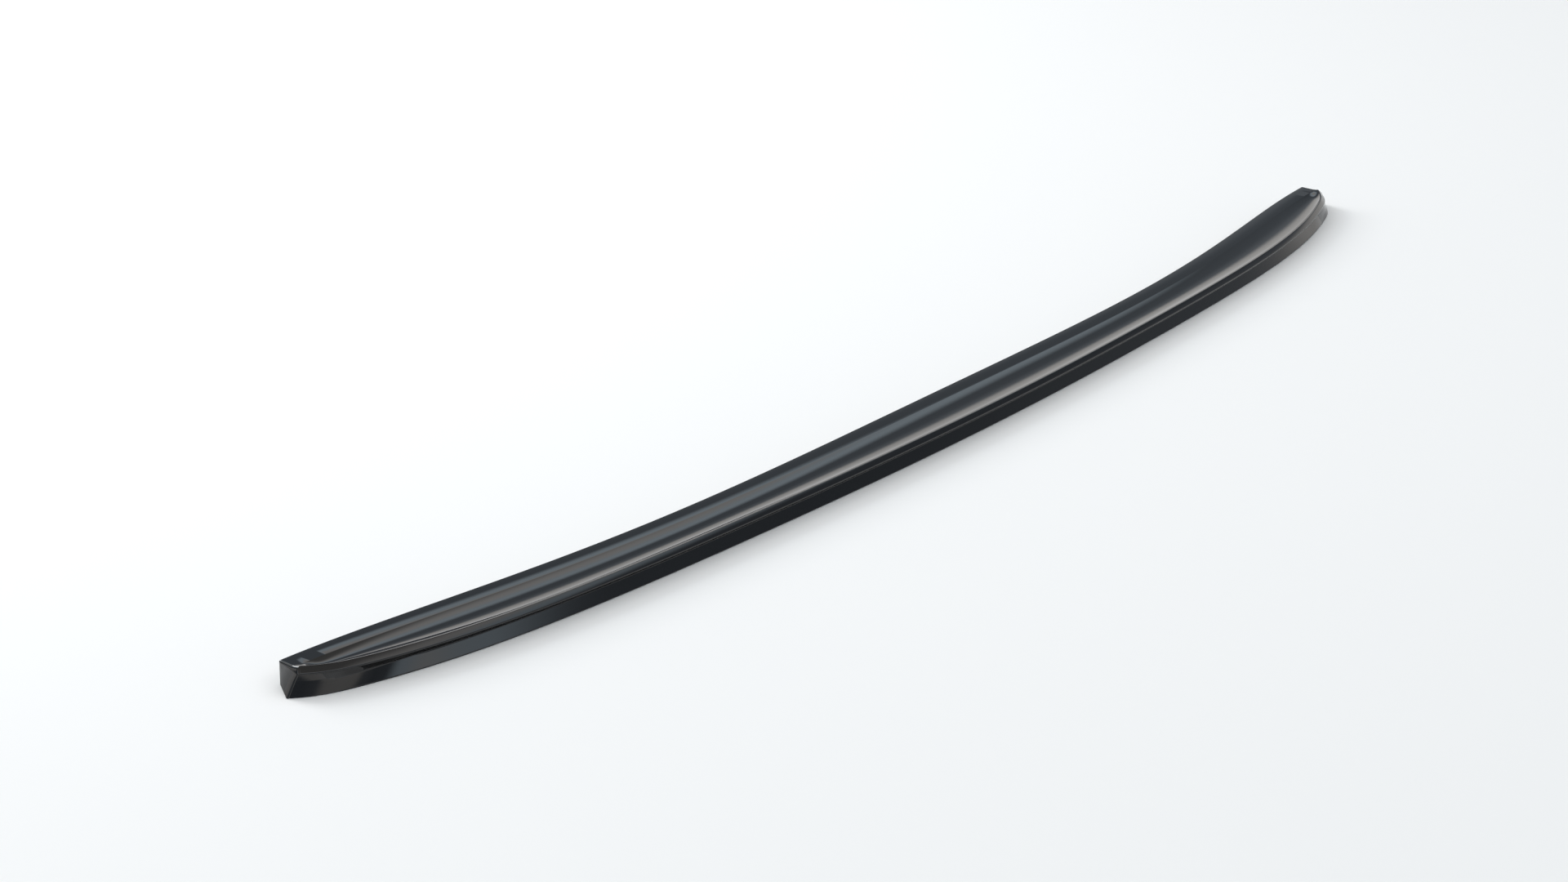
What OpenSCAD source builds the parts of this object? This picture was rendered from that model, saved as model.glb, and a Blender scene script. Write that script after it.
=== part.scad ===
// Boot-lid lip spoiler: a glossy top shell with a dished deck and a turned-under rear
// rim, a lobed base plate inside it, and a double-sided tape loop with peel-off liners.
// X runs along the spoiler, +Y points to the front of the car, Z is up from the surface
// that the liners lie on.

/* [Plan] */
// Distance between the two front tips
span = 1200; // [1000:10:1400]
// How far the front edge bows forward of the middle, measured back to its tips
front_bow = 43; // [30:1:60]
// Depth from front edge to rear rim at the middle
mid_depth = 49; // [42:1:70]
// Depth from front edge to rear rim at the tips
tip_depth = 24; // [18:1:34]
// How far the foot of each end stands out past the tips
end_flare = 11; // [2:1:14]

/* [Section] */
// Height of the flat front band
band_height = 16; // [13:0.5:26]
// Width of the flat front band
band_width = 14; // [8:0.5:18]
// How far the deck dips below the front band
deck_dip = 2.6; // [0:0.1:4]
// How far the rear crest stands above the front band
crest_rise = 1; // [0:0.1:4]
// Wall of the top shell
wall = 2.4; // [1.6:0.1:3]
// Forward lean of the front wall, from top to foot
front_lean = 4; // [1:0.5:8]
// How far the undercut below the crest goes in from the rear foot
undercut = 5.2; // [2:0.1:6]

/* [Base plate] */
// Thickness of the base plate
plate_thick = 2.5; // [1.5:0.1:4]
// Gap all round between the plate and the shell
plate_gap = 0.5; // [0.3:0.1:1.5]
// How much shallower the plate is between its two lobes
cutout_depth = 15; // [5:1:18]
// Distance from the middle to the inner end of each lobe's slope
cutout_half = 217; // [120:1:260]
// Distance from the middle to the corner of each lobe
lobe_corner = 306; // [270:1:380]

/* [Tape] */
// Width of each tape strip
tape_width = 6; // [4:0.5:8]
// Bare strip between the two tapes
tape_gap = 5; // [2:0.5:6]
// Thickness of the foam tape
foam_thick = 1.1; // [0.8:0.1:2]
// Thickness of the release liner
liner_thick = 0.15; // [0.1:0.05:0.3]
// Length of the pull tab on each liner
tab_length = 14; // [6:1:20]

/* [Inside] */
// Width of the adhesive beads
bead_width = 4; // [2:0.5:6]
// Thickness of the support ribs
rib_thick = 3; // [2:0.5:5]
// Distance from the middle to the inner pair of ribs
rib_inner = 170; // [60:1:200]
// Distance from the middle to the outer pair of ribs
rib_outer = 400; // [330:1:450]

/* [Hidden] */

half = span / 2;
gloss_black = [0.06, 0.06, 0.065];
satin_black = [0.13, 0.13, 0.14];
foam_black = [0.09, 0.09, 0.09];
liner_red = [0.80, 0.12, 0.12];
glue_grey = [0.55, 0.55, 0.50];

// Heights, from the ground up
plate_z = foam_thick + liner_thick;
plate_top = plate_z + plate_thick;
rim_z = 0.4;
crest_z = band_height + crest_rise;

// Plan curves: how far rearwards each edge lies at x, even polynomials in x / half
// whose values run from 1 at the middle to 0 at the tips.
front_shape = [1, 0.077, -2.752, 1.675];
rear_shape = [1, -0.709, 0.625, -0.916];
function poly(c, t) = c[0] + c[1] * pow(t, 2) + c[2] * pow(t, 4) + c[3] * pow(t, 6);
function front_n(x) = front_bow * poly(front_shape, x / half);
// The rear edge curls in over the last stretch before each tip.
tip_curl = 6.5;
curl_run = 34;
function rear_n(x) = tip_depth + (front_bow + mid_depth - tip_depth) * poly(rear_shape, x / half)
                     - tip_curl * pow(max(0, abs(x) - half + curl_run) / curl_run, 3);

// The frame's origin is at the middle of the plan box.
lip_over = 1.5;
edge_ease = 0.2;
mid_n = (front_bow + mid_depth + lip_over - edge_ease) / 2;
function row_y(n) = mid_n - n;

// Stations along X, closer together towards the ends
stations = 64;
function station(i, reach) = reach * sin(90 * (2 * i / stations - 1) * 0.98) / sin(90 * 0.98);

// The front wall's lean fades out towards the tips.
function lean_at(x) = front_lean * (1 - pow(x / half, 6));

// The undercut fades out before the tips.
fade_run = 80;
fade_end = 10;
function smooth_step(u) = u <= 0 ? 0 : u >= 1 ? 1 : u * u * (3 - 2 * u);
function undercut_at(x) = undercut * (1 - smooth_step((abs(x) - half + fade_run) / (fade_run - fade_end)));

// Solid skinned over equal sections, each a list of [x, y, z] points in order
module loft(sections) {
    n = len(sections);
    m = len(sections[0]);
    polyhedron(
        points = [for (s = sections) for (p = s) p],
        faces = concat(
            [for (i = [0 : n - 2]) for (j = [0 : m - 1])
                [i * m + j, (i + 1) * m + j, (i + 1) * m + (j + 1) % m, i * m + (j + 1) % m]],
            [[for (j = [0 : m - 1]) j]],
            [[for (j = [m - 1 : -1 : 0]) (n - 1) * m + j]]),
        convexity = 10);
}

// Deck height across the dish: q runs from the front band to the crest.
function deck_z(q) = band_height - 4 * deck_dip * q * (1 - q) + crest_rise * q * q;

// Outer line of the shell at x, from the front foot over the top to the rear foot:
// a list of [n, z] with n measured rearwards.
crest_back = 1.5;
dish_steps = 10;
function outer_line(x) =
    let (f = front_n(x), r = rear_n(x), crest = r - crest_back,
         band = min(band_width, (r - f) * 0.5), dish = crest - f - band)
    concat(
        [[f - lean_at(x), rim_z], [f - edge_ease, band_height - 0.8], [f + 0.7, band_height]],
        [for (k = [0 : dish_steps]) let (q = k / dish_steps) [f + band + dish * q, deck_z(q)]],
        [[r + 0.6, crest_z - 1.3], [r + lip_over, crest_z - 3.6], [r + 0.7, crest_z - 4.6],
         [r - undercut_at(x) + 0.9, band_height * 0.56], [r - undercut_at(x), band_height * 0.5],
         [r, rim_z]]);

// Inner line at x, from the rear foot back to the front foot
function inner_line(x) =
    let (f = front_n(x), r = rear_n(x), crest = r - crest_back,
         band = min(band_width, (r - f) * 0.5), dish = crest - f - band)
    concat(
        [[r - wall, rim_z], [r - undercut_at(x) - wall, band_height * 0.5]],
        [for (k = [dish_steps : -1 : 0]) let (q = k / dish_steps)
            [f + band + (dish - wall - undercut_at(x) + crest_back) * q, deck_z(q) - wall]],
        [[f - lean_at(x) * wall / band_height + wall, band_height - wall],
         [f - lean_at(x) + wall, rim_z]]);

// The rear foot of each end flares out: x grows as a point gets lower and further back.
function flare_rate(z) = end_flare / half * (band_height - z) / band_height;
function back_share(n, x) = min(1, max(0, (n - front_n(x)) / (rear_n(x) - front_n(x))));
function flared(x, n, z) = x * (1 + flare_rate(z) * back_share(n, x));
function placed(line, x) = [for (p = line) [flared(x, p[0], p[1]), row_y(p[0]), p[1]]];

end_wall = 3;
// The shell is one skin: an outer and an inner grid of points, joined along both feet
// and closed by an outer and an inner wall at each end.
module top_shell() {
    outer = [for (i = [0 : stations]) let (x = station(i, half)) placed(outer_line(x), x)];
    inner = [for (i = [0 : stations]) let (x = station(i, half - end_wall)) placed(inner_line(x), x)];
    m = len(outer[0]);
    k = len(inner[0]);
    first = (stations + 1) * m;
    function o(i, j) = i * m + j;
    function n(i, j) = first + i * k + j;
    function band(a, b, c, d) = [[a, c, b], [a, d, c]];
    last = stations;
    color(gloss_black) polyhedron(
        points = concat([for (s = outer) for (p = s) p], [for (s = inner) for (p = s) p]),
        faces = concat(
            [for (i = [0 : last - 1]) for (j = [0 : m - 2])
                each band(o(i, j), o(i, j + 1), o(i + 1, j + 1), o(i + 1, j))],
            [for (i = [0 : last - 1]) for (j = [0 : k - 2])
                each band(n(i, j), n(i, j + 1), n(i + 1, j + 1), n(i + 1, j))],
            [for (i = [0 : last - 1])
                each band(o(i, m - 1), n(i, 0), n(i + 1, 0), o(i + 1, m - 1))],
            [for (i = [0 : last - 1])
                each band(n(i, k - 1), o(i, 0), o(i + 1, 0), n(i + 1, k - 1))],
            [for (j = [1 : m - 2]) each [[o(0, 0), o(0, j), o(0, j + 1)],
                                         [o(last, 0), o(last, j + 1), o(last, j)]]],
            [for (j = [0 : k - 3]) each [[n(0, k - 1), n(0, j), n(0, j + 1)],
                                         [n(last, k - 1), n(last, j + 1), n(last, j)]]],
            [each band(n(0, 0), o(0, m - 1), o(0, 0), n(0, k - 1)),
             each band(n(last, k - 1), o(last, 0), o(last, m - 1), n(last, 0))]),
        convexity = 10);
}

// Base plate outline: front edge inside the front wall, rear edge with two lobes
function plate_front(x) = front_n(x) + wall + plate_gap
                          - lean_at(x) * (1 - (plate_top - rim_z) / (band_height - wall - rim_z));
function plate_limit(x) = rear_n(x / (1 + flare_rate(plate_top))) - wall - plate_gap
                          - undercut_at(x) * (plate_top - rim_z) / (band_height * 0.5 - rim_z);
tape_zone = 2 * tape_width + tape_gap + 1;
plate_reach = half - end_wall - 6;
// Lobe depth behind the tapes, shrinking from the corner to nothing at the plate's end
function lobe_taper(x) = 1 - 0.75 * pow((abs(x) - lobe_corner) / (plate_reach - lobe_corner), 1.5);
function plate_rear(x) =
    let (full = plate_limit(x), lobe = full - plate_front(x) - tape_zone)
    abs(x) < lobe_corner
        ? full - cutout_depth * (1 - smooth_step((abs(x) - cutout_half) / (lobe_corner - cutout_half)))
        : plate_front(x) + min(tape_zone, full - plate_front(x)) + max(0, lobe * lobe_taper(x));

// Flat piece between two plan curves from x0 to x1, its near and far edges lists of [x, n]
plan_steps = 90;
function run(x0, x1) = [for (k = [0 : plan_steps]) x0 + (x1 - x0) * k / plan_steps];

module base_plate() {
    xs = run(-plate_reach, plate_reach);
    color(satin_black) translate([0, 0, plate_z]) linear_extrude(plate_thick)
        polygon(concat(
            [for (x = xs) [x, row_y(plate_front(x))]],
            [for (k = [len(xs) - 1 : -1 : 0]) [xs[k], row_y(plate_rear(xs[k]))]]));
}

// A strip that follows the plate's front edge, from depth d0 to depth d1 behind it
module front_strip(d0, d1, reach, z, thick) {
    xs = run(-reach, reach);
    translate([0, 0, z]) linear_extrude(thick)
        polygon(concat(
            [for (x = xs) [x, row_y(plate_front(x) + d0)]],
            [for (k = [len(xs) - 1 : -1 : 0]) [xs[k], row_y(plate_front(xs[k]) + d1)]]));
}

tape_reach = plate_reach - tape_width - 2;
tape_end_gap = 0.3;
outer_edge = 0.5;
inner_edge = outer_edge + tape_width + tape_gap;

module outer_strip(z, thick, extra) front_strip(outer_edge, outer_edge + tape_width,
                                                tape_reach + extra, z, thick);
module inner_strip(z, thick) front_strip(inner_edge, inner_edge + tape_width,
                                         tape_reach, z, thick);
// Short piece across each end, which closes the tape loop; side is -1 or 1
module end_strip(side, z, thick) {
    x0 = side * (tape_reach + tape_end_gap);
    x1 = side * (plate_reach - 1);
    translate([0, 0, z]) linear_extrude(thick)
        polygon([[x0, row_y(plate_front(x0) + outer_edge)], [x1, row_y(plate_front(x1) + outer_edge)],
                 [x1, row_y(plate_front(x1) + inner_edge + tape_width - 3)],
                 [x0, row_y(plate_front(x0) + inner_edge + tape_width)]]);
}
// Loose tab on a liner, beside the tape and flat under the plate; dir is -1 or 1 along X
module pull_tab(x, depth, dir) {
    w = tape_gap - 1.4;
    xs = [for (k = [0 : 4]) x + dir * tab_length * k / 4];
    linear_extrude(liner_thick)
        polygon(concat([for (u = xs) [u, row_y(plate_front(u) + depth - w / 2)]],
                       [for (k = [4 : -1 : 0]) [xs[k], row_y(plate_front(xs[k]) + depth + w / 2)]]));
}

module tape_outer() color(foam_black) outer_strip(liner_thick, foam_thick, 0);
module tape_inner() color(foam_black) inner_strip(liner_thick, foam_thick);
module tape_end(side) color(foam_black) end_strip(side, liner_thick, foam_thick);
module liner_outer() color(liner_red) outer_strip(0, liner_thick, 0);
module liner_inner() color(liner_red) inner_strip(0, liner_thick);
module liner_end(side) color(liner_red) union() {
    end_strip(side, 0, liner_thick);
    pull_tab(side * (tape_reach + tape_end_gap + 0.5),
             outer_edge + tape_width + tape_gap / 2, -side);
}

bead_clear = 0.2;
// Adhesive bead in the corner between the plate and the front wall
module bond_front() {
    bead_height = 2.5;
    color(glue_grey) loft([for (i = [0 : stations])
        let (x = station(i, plate_reach - 4), f = plate_front(x) - plate_gap + bead_clear,
             lean = lean_at(x) * bead_height / (band_height - wall - rim_z))
        [[x, row_y(f), plate_top], [x, row_y(f + lean), plate_top + bead_height],
         [x, row_y(f + bead_width), plate_top]]]);
}
// Adhesive pad between each lobe's corner and the rear wall
lobe_pad_length = 60;
module bond_lobe(side) {
    pad_height = 2;
    lean = pad_height * undercut / (band_height * 0.5 - rim_z);
    steps = 12;
    first = side < 0 ? -lobe_corner - 2 - lobe_pad_length : lobe_corner + 2;
    color(glue_grey) loft([for (k = [0 : steps])
        let (x = first + lobe_pad_length * k / steps, r = plate_limit(x) + plate_gap - bead_clear)
        [[x, row_y(r - bead_width), plate_top], [x, row_y(r - lean), plate_top + pad_height],
         [x, row_y(r), plate_top]]]);
}

// Rib that stands on the plate and follows the underside of the deck
rib_clear = 0.3;
module rib(x) {
    f = plate_front(x) + bead_width + 1;
    r = min(plate_rear(x) - 1, plate_limit(x) - undercut);
    front = front_n(x);
    inner_dish = rear_n(x) - front - band_width - wall - undercut_at(x);
    function under_z(n) = let (q = (n - front - band_width) / inner_dish)
        (q < 0 ? band_height : deck_z(min(q, 1))) - wall - rib_clear;
    ns = [for (k = [0 : 12]) f + (r - f) * k / 12];
    color(satin_black) translate([x + rib_thick / 2, 0, 0]) rotate([0, -90, 0])
        linear_extrude(rib_thick)
            polygon(concat([[plate_top, row_y(r)], [plate_top, row_y(f)]],
                           [for (n = ns) [under_z(n), row_y(n)]]));
}

top_shell();
base_plate();
tape_outer();
tape_inner();
tape_end(-1);  // tape_end_left
tape_end(1);  // tape_end_right
liner_outer();
liner_inner();
liner_end(-1);  // liner_end_left
liner_end(1);  // liner_end_right
bond_front();
bond_lobe(-1);  // bond_lobe_left
bond_lobe(1);  // bond_lobe_right
rib(-rib_outer);  // rib_outer_left
rib(-rib_inner);  // rib_inner_left
rib(rib_inner);  // rib_inner_right
rib(rib_outer);  // rib_outer_right
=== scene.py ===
# %% [markdown]
# # A boot-lid lip spoiler
# A lip spoiler is a long, thin crescent that is stuck along the rear edge of a car's boot
# lid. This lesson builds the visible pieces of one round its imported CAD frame: a glossy
# top shell, a lobed base plate, foam tapes and their red peel-off liners.

import bpy
import numpy as np
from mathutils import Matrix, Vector


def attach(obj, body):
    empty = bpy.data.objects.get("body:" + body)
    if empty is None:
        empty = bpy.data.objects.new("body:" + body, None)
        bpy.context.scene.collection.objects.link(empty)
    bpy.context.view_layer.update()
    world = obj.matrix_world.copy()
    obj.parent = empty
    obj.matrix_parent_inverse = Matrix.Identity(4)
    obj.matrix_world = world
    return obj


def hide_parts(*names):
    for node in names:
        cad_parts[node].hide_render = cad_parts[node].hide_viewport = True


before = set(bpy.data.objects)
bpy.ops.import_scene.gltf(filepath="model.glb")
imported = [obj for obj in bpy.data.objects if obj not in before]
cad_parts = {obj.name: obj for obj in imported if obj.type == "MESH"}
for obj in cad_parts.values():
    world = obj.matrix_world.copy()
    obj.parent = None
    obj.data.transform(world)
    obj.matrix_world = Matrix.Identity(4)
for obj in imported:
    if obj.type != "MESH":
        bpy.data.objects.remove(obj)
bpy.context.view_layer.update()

# %% [markdown]
# ## Driving sizes
# All sizes are in metres. The few that drive the shape are written once here, with the
# same values as the design has; every curve below is worked out from them.

# %% Sizes
MM = 0.001
HALF = 600 * MM              # half the distance between the front tips
FRONT_BOW = 43 * MM
MID_DEPTH = 49 * MM
TIP_DEPTH = 24 * MM
END_FLARE = 11 * MM
BAND_HEIGHT = 16 * MM
BAND_WIDTH = 14 * MM
DECK_DIP = 2.6 * MM
CREST_RISE = 1.0 * MM
CREST_BACK = 1.5 * MM        # the crest's line in front of the rear foot
LIP_OVER = 1.5 * MM          # the lip's edge behind the rear foot
WALL = 2.4 * MM
FRONT_LEAN = 4 * MM
UNDERCUT = 5.2 * MM
RIM_Z = 0.4 * MM
END_WALL = 3 * MM
EDGE_EASE = 0.2 * MM         # how far the front edge's rounding stands proud of the tips' line
TIP_CURL = 6.5 * MM          # how far the rear edge turns in at the very tips
CURL_RUN = 34 * MM
FADE_RUN = 80 * MM           # the undercut fades out between here and FADE_END from each tip
FADE_END = 10 * MM

PLATE_THICK = 2.5 * MM
PLATE_GAP = 0.5 * MM
CUTOUT_DEPTH = 15 * MM
CUTOUT_HALF = 217 * MM
LOBE_CORNER = 306 * MM

TAPE_WIDTH = 6 * MM
TAPE_GAP = 5 * MM
FOAM_THICK = 1.1 * MM
LINER_THICK = 0.15 * MM
TAB_LENGTH = 14 * MM
OUTER_EDGE = 0.5 * MM        # plate's front edge to the outer tape
END_TAPE_GAP = 0.3 * MM

MID_N = (FRONT_BOW + MID_DEPTH + LIP_OVER - EDGE_EASE) / 2
CREST_Z = BAND_HEIGHT + CREST_RISE
PLATE_Z = FOAM_THICK + LINER_THICK
PLATE_TOP = PLATE_Z + PLATE_THICK
print("plate from", PLATE_Z, "to", PLATE_TOP, "m above the ground")

# %% [markdown]
# ## Plan curves
# Seen from above, the front and the rear edge are even polynomials, so that both halves
# mirror each other. A polynomial suits a long fair curve: it has no kinks for a glossy
# surface to show. Distances n are measured rearwards from the line between the tips.


# %% Plan curves
def even_poly(c, t):
    """c0 + c1 t^2 + c2 t^4 + c3 t^6, for an array t."""
    return c[0] + c[1] * t**2 + c[2] * t**4 + c[3] * t**6


FRONT_SHAPE = (1, 0.077, -2.752, 1.675)
REAR_SHAPE = (1, -0.709, 0.625, -0.916)


def front_n(x):
    """The front edge: the bow times a polynomial that falls from 1 to 0 at the tips."""
    return FRONT_BOW * even_poly(FRONT_SHAPE, x / HALF)


def rear_n(x):
    """The rear foot: the depth at the tips, plus the rest times its own polynomial, less a
    cube that starts a curl's run before each tip and rounds the end."""
    rest = FRONT_BOW + MID_DEPTH - TIP_DEPTH
    u = np.maximum(np.abs(x) - HALF + CURL_RUN, 0) / CURL_RUN
    return TIP_DEPTH + rest * even_poly(REAR_SHAPE, x / HALF) - TIP_CURL * u**3


def smooth_step(u):
    """3 u^2 - 2 u^3 between 0 and 1, flat outside."""
    u = np.clip(u, 0, 1)
    return u * u * (3 - 2 * u)


def undercut_at(x):
    """The undercut's depth: full along the middle, eased down to 0 before the tips."""
    return UNDERCUT * (1 - smooth_step((np.abs(x) - HALF + FADE_RUN) / (FADE_RUN - FADE_END)))


def lean_at(x):
    """The front wall's lean: full along the middle, fading to 0 at the tips by a sixth power."""
    return FRONT_LEAN * (1 - (x / HALF) ** 6)


def row_y(n):
    """The frame's Y for a distance n rearwards."""
    return MID_N - n


# %% [markdown]
# ## Surfaces from arrays
# Each piece is a section carried along X: a grid of points with one row a station and one
# column a point of the section. The grid is worked out as whole arrays, and one helper
# turns it into quads and closes its ends.


# %% Mesh helpers
def make_object(name, points, faces, material, smooth=True, uv=None):
    """A mesh object at the origin from an (N, 3) array and a list of faces."""
    mesh = bpy.data.meshes.new(name)
    mesh.from_pydata(points.tolist(), [], faces)
    mesh.update()
    mesh.validate()
    mesh.shade_smooth() if smooth else mesh.shade_flat()
    if uv is not None:
        layer = mesh.uv_layers.new(name="run")
        corner = np.empty(len(mesh.loops), dtype=np.int32)
        mesh.loops.foreach_get("vertex_index", corner)
        layer.data.foreach_set("uv", uv[corner].astype(np.float32).ravel())
    mesh.materials.append(material)
    obj = bpy.data.objects.new(name, mesh)
    bpy.context.scene.collection.objects.link(obj)
    return obj


def grid_quads(rows, cols, start=0, wrap=True):
    """Quads between neighbouring rows of a grid; wrap joins the last column to the first."""
    i, j = np.meshgrid(np.arange(rows - 1), np.arange(cols if wrap else cols - 1), indexing="ij")
    k = (j + 1) % cols
    a, b = start + i * cols + j, start + i * cols + k
    c, d = start + (i + 1) * cols + k, start + (i + 1) * cols + j
    return np.stack([a, b, c, d], axis=-1).reshape(-1, 4).tolist()


def mark_sharp(obj, degrees):
    """Edges that turn by more than an angle stay crisp; all others shade as one surface."""
    obj.data.set_sharp_from_angle(angle=np.radians(degrees))


def carried_section(name, sections, material, uv=None, sharp=35):
    """A closed skin over (stations, points, 3) sections, with a flat face at each end."""
    rows, cols, _ = sections.shape
    faces = grid_quads(rows, cols)
    faces.append(list(range(cols - 1, -1, -1)))
    faces.append(list(range((rows - 1) * cols, rows * cols)))
    obj = make_object(name, sections.reshape(-1, 3), faces, material, uv=uv)
    turn_outwards(obj)
    mark_sharp(obj, sharp)
    print(f"{name}: {len(obj.data.polygons)} faces")
    return obj


def signed_volume(mesh):
    """The sum over triangles of a . (b x c) / 6, positive when faces point outwards."""
    mesh.calc_loop_triangles()
    co = np.empty(len(mesh.vertices) * 3)
    mesh.vertices.foreach_get("co", co)
    tri = np.empty(len(mesh.loop_triangles) * 3, dtype=np.int32)
    mesh.loop_triangles.foreach_get("vertices", tri)
    a, b, c = np.moveaxis(co.reshape(-1, 3)[tri.reshape(-1, 3)], 1, 0)
    return float(np.einsum("ij,ij->i", a, np.cross(b, c)).sum() / 6)


def turn_outwards(obj):
    """All faces are flipped when the skin encloses a negative volume."""
    if signed_volume(obj.data) < 0:
        obj.data.flip_normals()


def stations(reach, count):
    """X values from -reach to reach, closer together near the ends, as a sine spaces them."""
    s = np.linspace(-1, 1, count)
    return reach * np.sin(s * 0.49 * np.pi) / np.sin(0.49 * np.pi)


# %% [markdown]
# ## Materials
# The finishes are moulded plastic in three grades, closed-cell foam, release film and
# cured glue. Colours are sRGB hex values turned to linear by one function, and one small
# function adds a node with its settings and links.


# %% Material helpers
def linear(hex_code):
    """An sRGB hex colour as linear RGBA: the standard curve with its straight toe."""
    rgb = np.array([int(hex_code[i:i + 2], 16) for i in (0, 2, 4)]) / 255
    rgb = np.where(rgb <= 0.04045, rgb / 12.92, ((rgb + 0.055) / 1.055) ** 2.4)
    return (*rgb.tolist(), 1.0)


def add(tree, kind, settings=None, links=None):
    """A node of a kind, with values for its sockets or attributes, and links into it."""
    node = tree.nodes.new(kind)
    for key, value in (settings or {}).items():
        if isinstance(key, str) and hasattr(node, key):
            setattr(node, key, value)
        else:
            node.inputs[key].default_value = value
    for key, source in (links or {}).items():
        tree.links.new(source, node.inputs[key])
    return node


def new_material(name):
    """An empty node material with its output; returns the material, tree and output."""
    material = bpy.data.materials.new(name)
    material.use_nodes = True
    tree = material.node_tree
    tree.nodes.clear()
    return material, tree, tree.nodes.new("ShaderNodeOutputMaterial")


# %% [markdown]
# ### Gloss black ABS
# The top shell is a pressed ABS sheet with a co-extruded gloss face. Its colour is nearly
# nothing: the eye sees reflections, so the work is in a low roughness, the plastic's IOR
# and a faint long-wave ripple like the one a heated sheet keeps from its mould.


# %% Gloss black ABS
def gloss_black_abs():
    material, tree, out = new_material("gloss_black_abs")
    place = add(tree, "ShaderNodeTexCoord")
    ripple = add(tree, "ShaderNodeTexNoise", {"Scale": 22.0, "Detail": 1.0},
                 {"Vector": place.outputs["Object"]})
    haze = add(tree, "ShaderNodeTexNoise", {"Scale": 60.0, "Detail": 3.0},
               {"Vector": place.outputs["Object"]})
    rough = add(tree, "ShaderNodeMapRange",
                {"From Min": 0.3, "From Max": 0.75, "To Min": 0.035, "To Max": 0.07},
                {"Value": haze.outputs["Fac"]})
    bump = add(tree, "ShaderNodeBump", {"Strength": 0.05, "Distance": 0.0002},
               {"Height": ripple.outputs["Fac"]})
    shade = add(tree, "ShaderNodeBsdfPrincipled", {"Base Color": linear("08080a"), "IOR": 1.52},
                {"Roughness": rough.outputs["Result"], "Normal": bump.outputs["Normal"]})
    tree.links.new(shade.outputs["BSDF"], out.inputs["Surface"])
    return material


# %% [markdown]
# ### Satin black ABS
# The plate and the ribs show the back of the same sheet, which is smooth but not
# polished: a slate black with a soft sheen and a fine mould texture of about 1 mm.


# %% Satin black ABS
def satin_black_abs():
    material, tree, out = new_material("satin_black_abs")
    place = add(tree, "ShaderNodeTexCoord")
    cloud = add(tree, "ShaderNodeTexNoise", {"Scale": 14.0, "Detail": 3.0},
                {"Vector": place.outputs["Object"]})
    grain = add(tree, "ShaderNodeTexNoise", {"Scale": 900.0, "Detail": 2.0},
                {"Vector": place.outputs["Object"]})
    tint = add(tree, "ShaderNodeMix", {"data_type": "RGBA", 6: linear("14171b"), 7: linear("1e2227")},
               {0: cloud.outputs["Fac"]})
    rough = add(tree, "ShaderNodeMapRange",
                {"From Min": 0.3, "From Max": 0.7, "To Min": 0.2, "To Max": 0.3},
                {"Value": cloud.outputs["Fac"]})
    bump = add(tree, "ShaderNodeBump", {"Strength": 0.12, "Distance": 0.0001},
               {"Height": grain.outputs["Fac"]})
    shade = add(tree, "ShaderNodeBsdfPrincipled", {"IOR": 1.52},
                {"Base Color": tint.outputs[2], "Roughness": rough.outputs["Result"],
                 "Normal": bump.outputs["Normal"]})
    tree.links.new(shade.outputs["BSDF"], out.inputs["Surface"])
    return material


# %% [markdown]
# ### Black acrylic foam
# The tape's core is a closed-cell acrylic foam. Its cut edges show cells of about 0.2 mm,
# so a cell pattern drives both the colour and the bump.


# %% Black acrylic foam
def acrylic_foam():
    material, tree, out = new_material("black_acrylic_foam")
    place = add(tree, "ShaderNodeTexCoord")
    cells = add(tree, "ShaderNodeTexVoronoi", {"Scale": 4000.0}, {"Vector": place.outputs["Object"]})
    tint = add(tree, "ShaderNodeMix", {"data_type": "RGBA", 6: linear("0b0b0b"), 7: linear("232323")},
               {0: cells.outputs["Distance"]})
    bump = add(tree, "ShaderNodeBump", {"Strength": 0.5, "Distance": 0.0001},
               {"Height": cells.outputs["Distance"]})
    shade = add(tree, "ShaderNodeBsdfPrincipled", {"Roughness": 0.85, "IOR": 1.47},
                {"Base Color": tint.outputs[2], "Normal": bump.outputs["Normal"]})
    tree.links.new(shade.outputs["BSDF"], out.inputs["Surface"])
    return material


# %% [markdown]
# ### Red release film
# The liner is a thin polyethylene film, dyed red and printed with small black marks every
# 15 mm: ticks along one edge and dots staggered across the middle. The pattern follows
# the strip, so it reads the piece's own UV map, which holds metres along and across.

# %% Red release film
MARK_PITCH = 15 * MM


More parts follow.
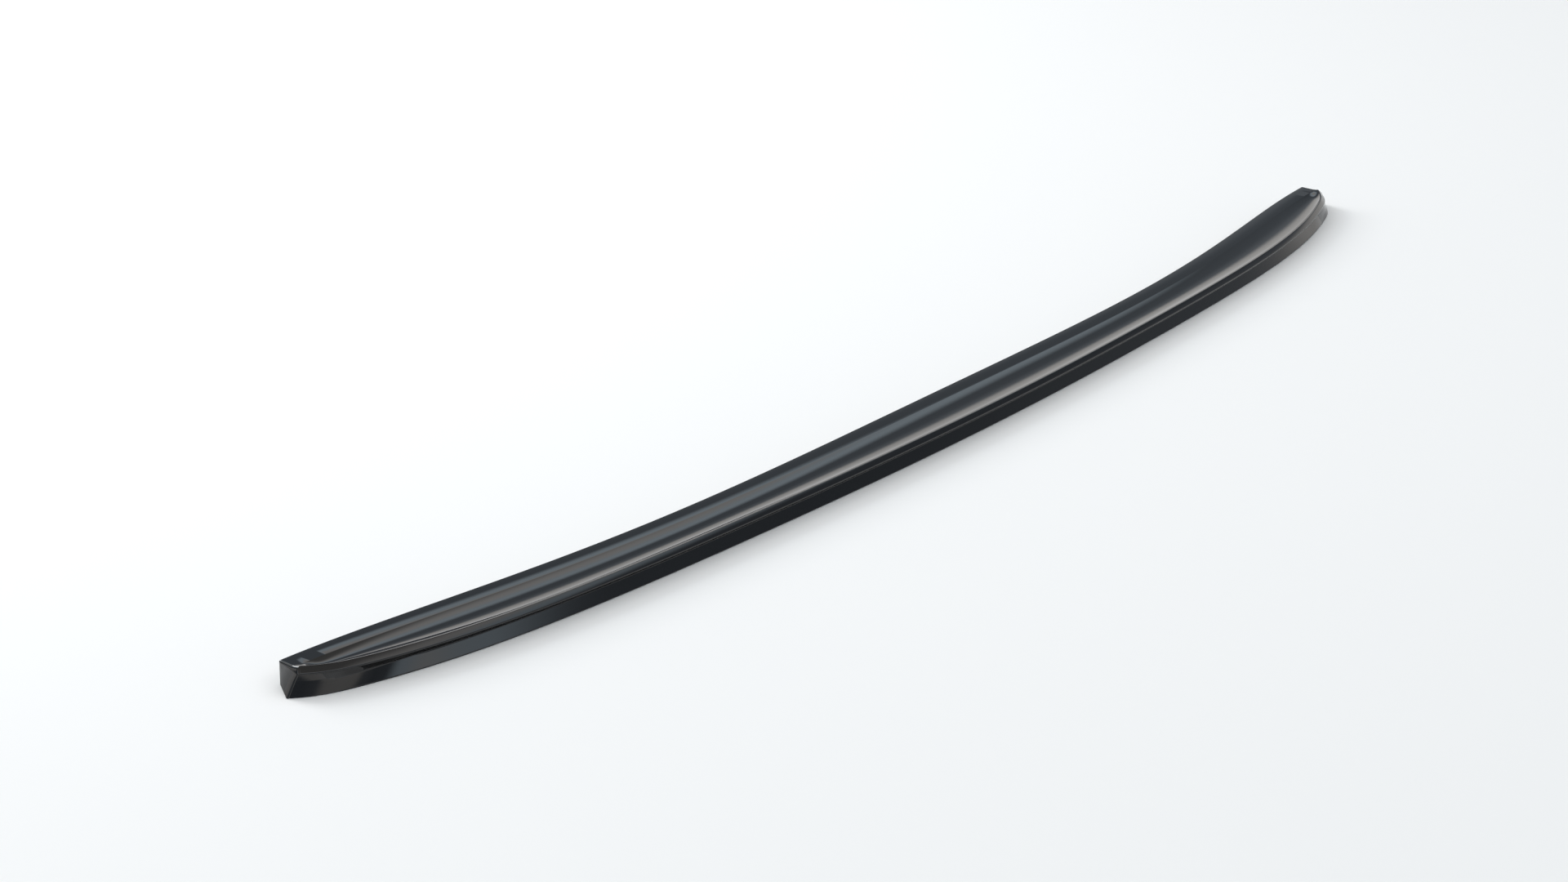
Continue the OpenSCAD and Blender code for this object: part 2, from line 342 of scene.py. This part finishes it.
def release_film():
    material, tree, out = new_material("red_release_film")
    run = add(tree, "ShaderNodeUVMap", {"uv_map": "run"})
    split = add(tree, "ShaderNodeSeparateXYZ", {}, {"Vector": run.outputs["UV"]})

    def math(op, a, b=None):
        """One arithmetic step on sockets or numbers."""
        node = tree.nodes.new("ShaderNodeMath")
        node.operation = op
        for index, value in enumerate((a, b)):
            if value is None:
                continue
            if isinstance(value, (int, float)):
                node.inputs[index].default_value = value
            else:
                tree.links.new(value, node.inputs[index])
        return node.outputs[0]

    along = math("MULTIPLY", math("FRACT", math("DIVIDE", split.outputs["X"], MARK_PITCH)), MARK_PITCH)
    across = split.outputs["Y"]

    def mark(u, v, half_u, half_v):
        """1 inside a small ellipse at (u, v) in each pitch, 0 outside it."""
        du = math("DIVIDE", math("SUBTRACT", along, u), half_u)
        dv = math("DIVIDE", math("SUBTRACT", across, v), half_v)
        reach = math("ADD", math("MULTIPLY", du, du), math("MULTIPLY", dv, dv))
        return math("LESS_THAN", reach, 1.0)

    ticks = mark(3 * MM, 0.3 * MM, 0.45 * MM, 1.1 * MM)
    dots_a = mark(6 * MM, 2.4 * MM, 0.5 * MM, 0.35 * MM)
    dots_b = mark(11 * MM, 3.8 * MM, 0.5 * MM, 0.35 * MM)
    ink = math("MAXIMUM", ticks, math("MAXIMUM", dots_a, dots_b))
    place = add(tree, "ShaderNodeTexCoord")
    cloud = add(tree, "ShaderNodeTexNoise", {"Scale": 90.0, "Detail": 2.0},
                {"Vector": place.outputs["Object"]})
    dye = add(tree, "ShaderNodeMix", {"data_type": "RGBA", 6: linear("b01c1f"), 7: linear("c8272a")},
              {0: cloud.outputs["Fac"]})
    tint = add(tree, "ShaderNodeMix", {"data_type": "RGBA", 7: linear("141010")},
               {0: ink, 6: dye.outputs[2]})
    bump = add(tree, "ShaderNodeBump", {"Strength": 0.15, "Distance": 0.0003},
               {"Height": cloud.outputs["Fac"]})
    shade = add(tree, "ShaderNodeBsdfPrincipled", {"Roughness": 0.32, "IOR": 1.51},
                {"Base Color": tint.outputs[2], "Normal": bump.outputs["Normal"]})
    tree.links.new(shade.outputs["BSDF"], out.inputs["Surface"])
    return material


# %% [markdown]
# ### Cured adhesive
# The two shells are joined by beads of a grey two-part adhesive: a rough, slightly
# lumpy surface.


# %% Cured adhesive
def cured_adhesive():
    material, tree, out = new_material("grey_structural_adhesive")
    place = add(tree, "ShaderNodeTexCoord")
    lumps = add(tree, "ShaderNodeTexNoise", {"Scale": 260.0, "Detail": 3.0},
                {"Vector": place.outputs["Object"]})
    tint = add(tree, "ShaderNodeMix", {"data_type": "RGBA", 6: linear("6f6e68"), 7: linear("8b8a83")},
               {0: lumps.outputs["Fac"]})
    bump = add(tree, "ShaderNodeBump", {"Strength": 0.6, "Distance": 0.0005},
               {"Height": lumps.outputs["Fac"]})
    shade = add(tree, "ShaderNodeBsdfPrincipled", {"Roughness": 0.5, "IOR": 1.5},
                {"Base Color": tint.outputs[2], "Normal": bump.outputs["Normal"]})
    tree.links.new(shade.outputs["BSDF"], out.inputs["Surface"])
    return material


GLOSS, SATIN, FOAM = gloss_black_abs(), satin_black_abs(), acrylic_foam()
FILM, GLUE = release_film(), cured_adhesive()
print("materials:", [m.name for m in (GLOSS, SATIN, FOAM, FILM, GLUE)])

# %% [markdown]
# ## The top shell
# One skin makes the whole show side: a flat band along the front, a shallow dish behind
# it, a raised crest, a lip that turns under, and a rim that flares out to its foot. The
# section's corners are rounded with arcs. Each point of the section hangs on the front
# edge, on the rear edge or between them, so that one section serves every station.

# %% Rounded section
def rounded(corners, steps=6):
    """A path through corners (n, z, radius): each corner is a circular arc that starts and
    ends radius / tan(half its angle) along its two sides."""
    out = [corners[0][:2]]
    for before, here, after in zip(corners, corners[1:], corners[2:]):
        p, q, r = (np.array(c[:2]) for c in (before, here, after))
        a, b = p - q, r - q
        la, lb = np.linalg.norm(a), np.linalg.norm(b)
        a, b = a / la, b / lb
        turn = np.arccos(np.clip(a @ b, -1, 1))
        cut = min(here[2] / np.tan(turn / 2), 0.45 * la, 0.45 * lb)
        start, end = q + a * cut, q + b * cut
        radius = cut * np.tan(turn / 2)
        centre = q + (a + b) / np.linalg.norm(a + b) * np.hypot(cut, radius)
        angle = np.linspace(0, 1, steps)[:, None]
        sweep = np.pi - turn
        u, v = start - centre, end - centre
        arc = centre + (np.sin((1 - angle) * sweep) * u + np.sin(angle * sweep) * v) / np.sin(sweep)
        out.extend(arc.tolist())
    out.append(corners[-1][:2])
    return np.array(out)


# %% Shell section
DISH_POINTS = 28
BAND_SHARE = 0.56            # the band takes no more than this share of a narrow section
CREST_RUN = 1.5 * MM         # the straight rise from the dish up to the crest
CREST_SLOPE = 0.27
CREST_DROP = 3.9 * MM        # from the crest down to the lip's edge
LIP_BASE = 12 * MM           # the undercut's fade acts below this height
DISH_FADE = 24 * MM          # the dish closes over this run before each tip


def front_part():
    """From the front foot up the front wall to the band's front edge, hung on the front,
    without the wall's lean."""
    return rounded([(0, RIM_Z, 0), (0, BAND_HEIGHT, 0.9 * MM), (5 * MM, BAND_HEIGHT, 0)], 7)


def rear_part():
    """From just before the crest, over the lip and the undercut, down to the rear foot,
    hung on the rear edge."""
    return rounded([
        (-CREST_BACK - CREST_RUN, CREST_Z - CREST_RUN * CREST_SLOPE, 0),
        (-CREST_BACK, CREST_Z, 0.5 * MM),
        (LIP_OVER, CREST_Z - CREST_DROP, 1.0 * MM),
        (-UNDERCUT + 0.6 * MM, 0.56 * BAND_HEIGHT, 0.7 * MM),
        (-UNDERCUT, 0.5 * BAND_HEIGHT, 0.5 * MM),
        (0, RIM_Z + 0.5 * MM, 0.4 * MM),
        (-0.4 * MM, RIM_Z, 0),
    ], 7)


def flare_rate(z):
    """The share by which X grows at a height: none at the band, END_FLARE / HALF at the ground."""
    return END_FLARE / HALF * (BAND_HEIGHT - z) / BAND_HEIGHT


def flared(x, n, z):
    """X grows as a point gets lower and further back, so that each end's rear foot stands out."""
    back = np.clip((n - front_n(x)) / (rear_n(x) - front_n(x)), 0, 1)
    return x * (1 + flare_rate(z) * back)


def shell_lines(x):
    """The outer section at each x: an array of (stations, points, 3)."""
    x = x[:, None]
    front, rear = front_n(x), rear_n(x)
    width = rear - front
    band = np.minimum(BAND_WIDTH, width * BAND_SHARE)
    fade = 1 - np.clip((np.abs(x) - (HALF - DISH_FADE)) / (0.8 * DISH_FADE), 0, 1) ** 2
    fade = fade * fade * (3 - 2 * fade)
    a, c = front_part(), rear_part()
    q = (np.linspace(0, 1, DISH_POINTS) ** 1.15)[None, :]
    dish_start = front + band
    dish_end = rear - CREST_BACK - CREST_RUN
    dish_n = dish_start + (dish_end - dish_start) * q
    dip = -4 * DECK_DIP * q * (1 - q) * (1 - 0.25 * q)
    rise = CREST_Z - CREST_RUN * CREST_SLOPE - BAND_HEIGHT
    dish_z = BAND_HEIGHT + fade * dip + rise * q**2
    sheared = a[None, :, 0] - lean_at(x) * (BAND_HEIGHT - a[None, :, 1]) / (BAND_HEIGHT - RIM_Z)
    below_lip = (c[None, :, 1] < LIP_BASE) & (c[None, :, 0] < 0)
    tucked = np.where(below_lip, c[None, :, 0] * undercut_at(x) / UNDERCUT, c[None, :, 0])
    n = np.concatenate([front + sheared, dish_n, rear + tucked], axis=1)
    z = np.concatenate([np.broadcast_to(a[None, :, 1], (len(x), len(a))), dish_z,
                        np.broadcast_to(c[None, :, 1], (len(x), len(c)))], axis=1)
    return n, z


def inner_lines(x):
    """The hollow's section: the wall's thickness inside the outer one, in a few points."""
    x = x[:, None]
    front, rear = front_n(x), rear_n(x)
    band = np.minimum(BAND_WIDTH, (rear - front) * BAND_SHARE)
    start, end = front + band, rear - WALL - undercut_at(x)
    q = np.linspace(1, 0, 12)[None, :]
    deck_n = start + (end - start) * q
    one = np.ones_like(x)
    deck_z = one * (BAND_HEIGHT - WALL + q * (-4 * DECK_DIP * (1 - q)) + CREST_RISE * q**2)
    n = np.concatenate([rear - WALL, rear - undercut_at(x) - WALL, deck_n,
                        front - lean_at(x) * WALL / BAND_HEIGHT + WALL, front - lean_at(x) + WALL], axis=1)
    z = np.concatenate([one * RIM_Z, one * 0.5 * BAND_HEIGHT, deck_z,
                        one * (BAND_HEIGHT - WALL), one * RIM_Z], axis=1)
    return n, z


def along(x, n, z):
    """Points (x flared by height, y, z) from section lines."""
    return np.stack([flared(x[:, None], n, z), row_y(n), z], axis=-1)


# %% Build the shell
ROUND_END = 1.2 * MM
END_STEPS = 7


def rounded_ends(x, n, z):
    """Extra rows at each end that shrink the section inwards while x runs on a quarter
    circle, which rounds the edge between the deck and the end wall."""
    rows_n, rows_z, rows_x = [], [], []
    for theta in np.linspace(0, np.pi / 2, END_STEPS):
        inset = ROUND_END * (1 - np.cos(theta))
        step_n, step_z = np.gradient(n[-1]), np.gradient(z[-1])
        size = np.maximum(np.hypot(step_n, step_z), 1e-9)
        rows_n.append(n[-1] + step_z / size * inset)
        rows_z.append(np.maximum(z[-1] - step_n / size * inset, RIM_Z))
        rows_x.append(HALF - ROUND_END * (1 - np.sin(theta)))
    rows_n, rows_z, rows_x = np.array(rows_n), np.array(rows_z), np.array(rows_x)
    return (np.concatenate([-rows_x[::-1], x[1:-1], rows_x]),
            np.concatenate([rows_n[::-1], n[1:-1], rows_n]),
            np.concatenate([rows_z[::-1], z[1:-1], rows_z]))


def top_shell():
    """An outer and an inner grid, joined along both feet and closed at both ends."""
    x = stations(HALF - ROUND_END, 361)
    x, n, z = rounded_ends(x, *shell_lines(x))
    outer = along(x, n, z)
    xi = stations(HALF - END_WALL, 181)
    inner = along(xi, *inner_lines(xi))
    rows, cols = outer.shape[:2]
    irows, icols = inner.shape[:2]
    first = rows * cols
    faces = grid_quads(rows, cols, wrap=False) + grid_quads(irows, icols, start=first, wrap=False)
    rear_out = np.arange(rows) * cols + cols - 1
    front_out = np.arange(rows) * cols
    rear_in = first + np.arange(irows) * icols
    front_in = rear_in + icols - 1
    # both feet are one flat ring, so each is a single strip between its two edges
    faces.append([*rear_out[::-1].tolist(), *rear_in.tolist()])
    faces.append([*front_out.tolist(), *front_in[::-1].tolist()])
    for row, inner_row, side in ((0, 0, -1), (rows - 1, irows - 1, 1)):
        cap = list(range(row * cols, (row + 1) * cols))
        back = [first + inner_row * icols + j for j in range(icols)]
        ring = [int(rear_out[row]), int(front_out[row]), int(front_in[inner_row]), int(rear_in[inner_row])]
        if side < 0:
            faces += [cap[::-1], back[::-1], ring]
        else:
            faces += [cap, back, ring[::-1]]
    points = np.concatenate([outer.reshape(-1, 3), inner.reshape(-1, 3)])
    obj = make_object("shell_gloss_skin", points, faces, GLOSS)
    turn_outwards(obj)
    mark_sharp(obj, 32)
    print("shell volume, mm3:", round(signed_volume(obj.data) * 1e9))
    return obj


shell = top_shell()
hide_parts("top_shell")
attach(shell, "spoiler")

# %% [markdown]
# ## The base plate
# The plate closes the shell from below. Its front edge runs inside the front wall, and
# its rear edge has two lobes that reach the rear wall, with a shallow cut-out between
# them. A flat sheet with small rounded edges is a rounded rectangle carried along X.

# %% Plate curves
PLATE_REACH = HALF - END_WALL - 6 * MM
TAPE_ZONE = 2 * TAPE_WIDTH + TAPE_GAP + 1 * MM


def plate_front(x):
    """The plate's front edge: inside the leaning front wall by the gap."""
    climbed = (PLATE_TOP - RIM_Z) / (BAND_HEIGHT - WALL - RIM_Z)
    return front_n(x) + WALL + PLATE_GAP - lean_at(x) * (1 - climbed)


def plate_limit(x):
    """As far rearwards as the rear wall leaves room at the plate's top."""
    lean = undercut_at(x) * (PLATE_TOP - RIM_Z) / (BAND_HEIGHT * 0.5 - RIM_Z)
    return rear_n(x / (1 + flare_rate(PLATE_TOP))) - lean - WALL - PLATE_GAP


def plate_rear(x):
    """Between the lobe corners the full depth less the cut-out, eased in by a smooth
    step; past them the tape zone plus a lobe that tapers by a power of 1.5."""
    full, front = plate_limit(x), plate_front(x)
    u = (np.abs(x) - CUTOUT_HALF) / (LOBE_CORNER - CUTOUT_HALF)
    middle = full - CUTOUT_DEPTH * (1 - smooth_step(u))
    past = np.maximum(np.abs(x) - LOBE_CORNER, 0) / (PLATE_REACH - LOBE_CORNER)
    lobe = (full - front - TAPE_ZONE) * (1 - 0.75 * past**1.5)
    outer = front + np.minimum(TAPE_ZONE, full - front) + np.maximum(lobe, 0)
    return np.where(np.abs(x) < LOBE_CORNER, middle, outer)


def slab_section(x, near, far, low, high, radius, steps=4):
    """A rectangle from near to far and low to high at each x, whose corners are quarter
    circles of the given radius about the corners of a smaller rectangle."""
    quarter = np.linspace(0, np.pi / 2, steps)
    angle = np.concatenate([np.pi - quarter, np.pi / 2 - quarter, -quarter, -np.pi / 2 - quarter])
    from_far = np.repeat([0, 1, 1, 0], steps)
    centre_n = np.where(from_far, far[:, None] - radius, near[:, None] + radius)
    centre_z = np.repeat([high - radius, high - radius, low + radius, low + radius], steps)
    n = centre_n + radius * np.cos(angle)
    z = np.broadcast_to(centre_z + radius * np.sin(angle), n.shape)
    return np.stack([np.broadcast_to(x[:, None], n.shape), row_y(n), z], axis=-1)


# %% Build the plate
EDGE_RADIUS = 0.5 * MM

plate_x = stations(PLATE_REACH, 521)
plate = carried_section("base_plate_sheet",
                        slab_section(plate_x, plate_front(plate_x), plate_rear(plate_x),
                                     PLATE_Z, PLATE_TOP, EDGE_RADIUS), SATIN)
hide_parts("base_plate")
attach(plate, "spoiler")

# %% [markdown]
# ## Foam tape and its liners
# Two strips of foam tape follow the front edge, and a short piece crosses each end to
# close the loop against water. Each has a liner of release film, which peels off and so
# rides on a body of its own. Strips carry a UV map in metres for the printed marks.

# %% Strip builder
TAPE_REACH = PLATE_REACH - TAPE_WIDTH - 2 * MM
INNER_EDGE = OUTER_EDGE + TAPE_WIDTH + TAPE_GAP
FILM_RADIUS = 0.04 * MM
FOAM_RADIUS = 0.12 * MM


def strip_uv(points, near_y):
    """U is the distance run along the strip, V the distance from its near edge."""
    path = points.mean(axis=1)[:, :2]
    run = np.concatenate([[0], np.cumsum(np.hypot(*np.diff(path, axis=0).T))])
    u = np.broadcast_to(run[:, None], points.shape[:2])
    v = near_y[:, None] - points[:, :, 1]
    return np.stack([u, v], axis=-1).reshape(-1, 2)


def strip(name, edge, low, high, radius, material, body, node):
    """A tape or liner that follows the plate's front edge, a fixed distance behind it."""
    x = stations(TAPE_REACH, 301)
    near = plate_front(x) + edge
    points = slab_section(x, near, near + TAPE_WIDTH, low, high, radius, steps=3)
    obj = carried_section(name, points, material, uv=strip_uv(points, row_y(near)))
    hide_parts(node)
    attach(obj, body)
    return obj


def end_piece(name, side, low, high, radius, material, body, node):
    """The short piece across one end: the same slab over a few stations, its rear edge
    drawn in by 3 mm towards the tip."""
    x = np.linspace(side * (TAPE_REACH + END_TAPE_GAP), side * (PLATE_REACH - 1 * MM), 9)
    near = plate_front(x) + OUTER_EDGE
    share = np.linspace(0, 1, len(x))
    far = plate_front(x) + INNER_EDGE + TAPE_WIDTH - 3 * MM * share
    points = slab_section(x, near, far, low, high, radius, steps=3)
    obj = carried_section(name, points, material, uv=strip_uv(points, row_y(near)))
    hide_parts(node)
    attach(obj, body)
    return obj


# %% Build the tape
FOAM_TOP = LINER_THICK + FOAM_THICK
for label, edge in (("outer", OUTER_EDGE), ("inner", INNER_EDGE)):
    strip(f"foam_strip_{label}", edge, LINER_THICK, FOAM_TOP, FOAM_RADIUS, FOAM,
          "spoiler", f"tape_{label}")
    strip(f"film_strip_{label}", edge, 0.0, LINER_THICK, FILM_RADIUS, FILM,
          f"liner_{label}", f"liner_{label}")
for label, side in (("left", -1), ("right", 1)):
    end_piece(f"foam_end_{label}", side, LINER_THICK, FOAM_TOP, FOAM_RADIUS, FOAM,
              "spoiler", f"tape_end_{label}")
    end_piece(f"film_end_{label}", side, 0.0, LINER_THICK, FILM_RADIUS, FILM,
              f"liner_end_{label}", f"liner_end_{label}")

# %% [markdown]
# ### Pull tabs
# Each end liner has a loose tab between the two tapes, to start the peel with. It is a
# narrow tongue of the same film with a round tip.


# %% Build the tabs
def pull_tab(name, side, body):
    """A tongue whose half width is constant and closes in a half circle at its tip."""
    start = side * (TAPE_REACH + END_TAPE_GAP + 0.5 * MM)
    half_width = (TAPE_GAP - 1.4 * MM) / 2
    t = np.linspace(0, 1, 40)
    run = TAB_LENGTH * np.sin(t * np.pi / 2)
    to_tip = np.clip((TAB_LENGTH - run) / half_width, 0, 1)
    half = np.maximum(half_width * np.sqrt(1 - (1 - to_tip) ** 2), 0.1 * MM)
    x = start - side * run
    middle = plate_front(x) + OUTER_EDGE + TAPE_WIDTH + TAPE_GAP / 2
    points = slab_section(x, middle - half, middle + half, 0.0, LINER_THICK, FILM_RADIUS, steps=3)
    near_y = row_y(middle - half)
    obj = carried_section(name, points, FILM, uv=strip_uv(points, near_y) + [8 * MM, -2])
    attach(obj, body)


pull_tab("film_tab_left", -1, "liner_end_left")
pull_tab("film_tab_right", 1, "liner_end_right")

# %% [markdown]
# ## Hidden pieces
# The ribs and the adhesive beads already have their right shape in the design, so they
# keep it and only get their finish.

# %% Finish the hidden pieces
for node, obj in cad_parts.items():
    if node.startswith(("rib_", "bond_")):
        obj.data.materials.clear()
        obj.data.materials.append(SATIN if node.startswith("rib_") else GLUE)
print("finished the ribs and beads")

# %% [markdown]
# ## Floor and light
# Gloss black shows its surroundings, so the light is the finish. The room is a sky whose
# brightness changes with height: white at the horizon, slate above it, then a bright band
# and a soft warm grey overhead. The floor is a plain pale sheet.

# %% Floor
FLOOR_SIZE = 12.0


def pale_floor():
    material, tree, out = new_material("pale_floor_paint")
    shade = add(tree, "ShaderNodeBsdfPrincipled", {"Base Color": linear("f6f6f6"), "Roughness": 0.9,
                                                     "Specular IOR Level": 0.1})
    tree.links.new(shade.outputs["BSDF"], out.inputs["Surface"])
    corners = np.array([[-1, -1, 0], [1, -1, 0], [1, 1, 0], [-1, 1, 0]]) * FLOOR_SIZE / 2
    floor = make_object("studio_floor", corners, [[0, 1, 2, 3]], material, smooth=False)


pale_floor()

# %% Sky
SKY_BANDS = (                # share of the way from nadir to zenith, colour, brightness
    (0.500, "ffffff", 1.15),
    (0.555, "f6f4f1", 1.05),
    (0.590, "b4bcc4", 0.70),
    (0.625, "aab4be", 0.60),
    (0.660, "aab4be", 0.68),
    (0.705, "c4d2dc", 2.3),
    (0.750, "f0eeec", 1.9),
    (0.820, "e8e6e2", 0.72),
    (1.000, "e0dcd6", 0.48),
)


def sky():
    world = bpy.data.worlds.new("soft_studio")
    bpy.context.scene.world = world
    world.use_nodes = True
    tree = world.node_tree
    tree.nodes.clear()
    place = add(tree, "ShaderNodeTexCoord")
    split = add(tree, "ShaderNodeSeparateXYZ", {}, {"Vector": place.outputs["Generated"]})
    height = add(tree, "ShaderNodeMath", {"operation": "ARCSINE"}, {0: split.outputs["Z"]})
    share = add(tree, "ShaderNodeMapRange", {"From Min": -np.pi / 2, "From Max": np.pi / 2},
                {"Value": height.outputs[0]})
    ramp = add(tree, "ShaderNodeValToRGB", {}, {"Fac": share.outputs["Result"]})
    bands = ramp.color_ramp
    bands.interpolation = "EASE"
    while len(bands.elements) > 1:
        bands.elements.remove(bands.elements[0])
    for index, (place_at, colour, level) in enumerate(SKY_BANDS):
        element = bands.elements[0] if index == 0 else bands.elements.new(place_at)
        element.position = place_at
        element.color = (*[c * level for c in linear(colour)[:3]], 1)
    glow = add(tree, "ShaderNodeBackground", {"Strength": 1.0}, {"Color": ramp.outputs["Color"]})
    add(tree, "ShaderNodeOutputWorld", {}, {"Surface": glow.outputs["Background"]})


sky()


# %% Lamps
def softbox(name, place, aim, size, watts):
    """A square area lamp at a place, turned to face its aim."""
    lamp = bpy.data.lights.new(name, "AREA")
    lamp.shape, lamp.size, lamp.energy = "SQUARE", size, watts
    obj = bpy.data.objects.new(name, lamp)
    bpy.context.scene.collection.objects.link(obj)
    obj.location = place
    direction = Vector(aim) - Vector(place)
    obj.rotation_euler = direction.to_track_quat("-Z", "Y").to_euler()


softbox("key_softbox", (-0.3, 2.4, 1.3), (0, 0, 0), 1.2, 38)

# %% [markdown]
# ## Camera
# The camera looks along the spoiler from its left rear, a little from above. Its place is
# worked out from an aim point, two angles and a distance.

# %% Camera
VIEW_AZIMUTH = -50.77        # degrees, 0 looks along +Y
VIEW_ELEVATION = 22.48
VIEW_DISTANCE = 2.175
LENS = 69.7                  # mm on a 36 mm sensor
AIM = Vector((-0.113, MID_N + 0.0069, 0.0))


def main_camera():
    a, e = np.radians(VIEW_AZIMUTH), np.radians(VIEW_ELEVATION)
    towards = Vector((np.sin(a) * np.cos(e), -np.cos(a) * np.cos(e), np.sin(e)))
    data = bpy.data.cameras.new("main_camera")
    data.lens, data.sensor_width, data.clip_start = LENS, 36, 0.05
    camera = bpy.data.objects.new("main_camera", data)
    bpy.context.scene.collection.objects.link(camera)
    camera.location = AIM + towards * VIEW_DISTANCE
    camera.rotation_euler = towards.to_track_quat("Z", "Y").to_euler()
    bpy.context.scene.camera = camera


main_camera()
bpy.context.scene.view_settings.view_transform = "Standard"
